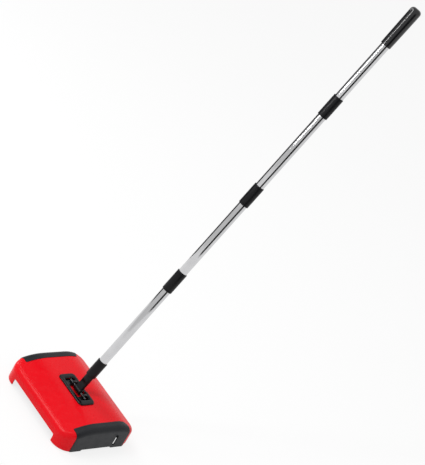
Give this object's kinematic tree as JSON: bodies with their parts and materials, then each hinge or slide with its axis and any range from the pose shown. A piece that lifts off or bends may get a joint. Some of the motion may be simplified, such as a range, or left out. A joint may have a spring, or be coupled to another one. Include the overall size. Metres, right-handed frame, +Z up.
{
  "type": "carpet sweeper",
  "caption": "Push carpet sweeper: low red body with black end covers, wheel-driven brush, drop-down dust pans and a long jointed metal handle.",
  "frame": {"origin": "on the floor under the middle of the body", "axes": "+X along the body's long side, +Y towards the user, +Z up; the handle leans towards +Y"},
  "size_m": [0.2728, 0.485, 1.1863],
  "materials": {
    "red_plastic": "glossy saturated red ABS",
    "black_cap": "satin charcoal-black plastic",
    "black_gloss": "glossy black plastic",
    "frame_plastic": "matte dark grey plastic",
    "steel": "bright steel",
    "tube_metal": "polished metal tube",
    "rubber": "black rubber",
    "tyre": "soft grey-black rubber tread",
    "bristle": "black nylon bristle",
    "bush_plastic": "natural acetal",
    "grip_plastic": "glossy black grip"
  },
  "bodies": {
    "chassis": {"top_housing": "red_plastic", "left_end_cap": "black_cap", "right_end_cap": "black_cap", "left_side_frame": "frame_plastic", "right_side_frame": "frame_plastic", "chassis_screws": "steel", "bezel_screws": "steel", "brush_bushes": "bush_plastic", "wheel_axles": "steel", "axle_clips": "steel", "pan_pivot_pins": "steel", "pan_springs": "steel", "edge_brush_blocks": "frame_plastic", "edge_brush_tufts": "bristle", "pivot_bezel": "black_gloss", "pivot_pin": "steel", "pivot_pin_clips": "steel"},
    "brush_roller": {"brush_shaft": "steel", "brush_core": "frame_plastic", "brush_bristles": "bristle", "left_drive_drum": "rubber", "right_drive_drum": "rubber"},
    "rear_pan": {"rear_dust_pan": "frame_plastic", "rear_pan_lip": "rubber", "pan_release_lever": "black_gloss"},
    "front_pan": {"front_dust_pan": "frame_plastic", "front_pan_lip": "rubber", "front_pan_crank": "frame_plastic"},
    "pan_link": {"pan_link": "steel"},
    "handle": {"handle_knuckle": "black_cap", "socket_sleeve": "black_cap", "lower_tube": "tube_metal", "lower_middle_tube": "tube_metal", "upper_middle_tube": "tube_metal", "top_tube": "tube_metal", "lower_connector": "black_gloss", "middle_connector": "black_gloss", "upper_connector": "black_gloss", "grip": "grip_plastic"},
    "front_left_wheel": {"front_left_wheel_hub": "frame_plastic", "front_left_tyre": "tyre"},
    "front_right_wheel": {"front_right_wheel_hub": "frame_plastic", "front_right_tyre": "tyre"},
    "rear_left_wheel": {"rear_left_wheel_hub": "frame_plastic", "rear_left_tyre": "tyre"},
    "rear_right_wheel": {"rear_right_wheel_hub": "frame_plastic", "rear_right_tyre": "tyre"}
  },
  "joints": [
    {"name": "brush_spin", "type": "hinge", "parent": "chassis", "child": "brush_roller", "pos_m": [0, 0, 0.0265], "axis": [1, 0, 0], "continuous": true},
    {"name": "front_left_wheel_spin", "type": "hinge", "parent": "chassis", "child": "front_left_wheel", "pos_m": [0, -0.03849, 0.0225], "axis": [1, 0, 0], "continuous": true},
    {"name": "front_right_wheel_spin", "type": "hinge", "parent": "chassis", "child": "front_right_wheel", "pos_m": [0, -0.03849, 0.0225], "axis": [1, 0, 0], "continuous": true},
    {"name": "rear_left_wheel_spin", "type": "hinge", "parent": "chassis", "child": "rear_left_wheel", "pos_m": [0, 0.03849, 0.0225], "axis": [1, 0, 0], "continuous": true},
    {"name": "rear_right_wheel_spin", "type": "hinge", "parent": "chassis", "child": "rear_right_wheel", "pos_m": [0, 0.03849, 0.0225], "axis": [1, 0, 0], "continuous": true},
    {"name": "rear_pan_drop", "type": "hinge", "parent": "chassis", "child": "rear_pan", "pos_m": [0, 0.086, 0.027], "axis": [1, 0, 0], "range_deg": [0, 36]},
    {"name": "front_pan_drop", "type": "hinge", "parent": "chassis", "child": "front_pan", "pos_m": [0, -0.086, 0.027], "axis": [1, 0, 0], "range_deg": [-36, 0]},
    {"name": "pan_link_turn", "type": "hinge", "parent": "front_pan", "child": "pan_link", "pos_m": [0, -0.086, 0.035], "axis": [1, 0, 0], "range_deg": [-0.1, 37.2]},
    {"name": "handle_tilt", "type": "hinge", "parent": "chassis", "child": "handle", "pos_m": [0, 0.003, 0.064], "axis": [1, 0, 0], "range_deg": [-47, 18]}
  ],
  "couplings": [
    {"joint": "front_left_wheel_spin", "follows": "brush_spin", "ratio": -0.71111},
    {"joint": "front_right_wheel_spin", "follows": "brush_spin", "ratio": -0.71111},
    {"joint": "rear_left_wheel_spin", "follows": "brush_spin", "ratio": -0.71111},
    {"joint": "rear_right_wheel_spin", "follows": "brush_spin", "ratio": -0.71111},
    {"joint": "front_pan_drop", "follows": "rear_pan_drop", "ratio": -1},
    {"joint": "pan_link_turn", "follows": "rear_pan_drop", "ratio": 1.024}
  ]
}
